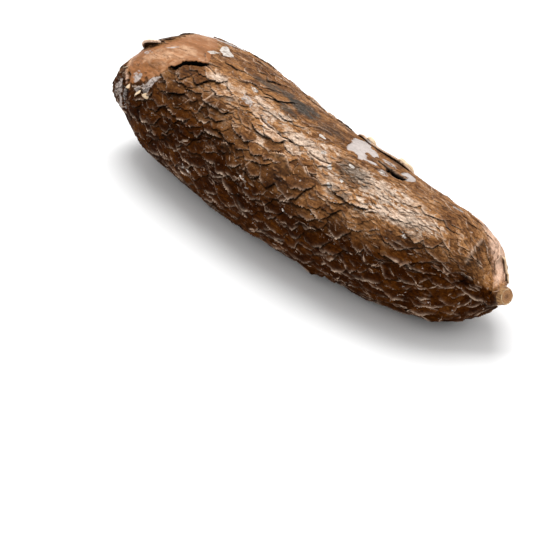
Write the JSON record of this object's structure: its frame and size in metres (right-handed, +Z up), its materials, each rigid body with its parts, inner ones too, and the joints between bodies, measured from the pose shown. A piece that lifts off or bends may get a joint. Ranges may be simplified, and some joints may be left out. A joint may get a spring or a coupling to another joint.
{
  "type": "cassava root",
  "caption": "Thick, slightly bent storage root with scaly brown bark, tapering from a broad crown to a rounded neck with a short cut woody stalk.",
  "frame": {"origin": "centre of the root's box at the level it lies on, z = 0", "axes": "+X along the root from the broad crown to the cut stalk, +Z up, +Y across the root towards the hollow side of its bend"},
  "size_m": [0.3002, 0.0886, 0.079],
  "materials": {
    "bark": "dry flaky bark, matt with a little dried wax"
  },
  "bodies": {
    "root": {"cassava_root": "bark"}
  },
  "joints": []
}
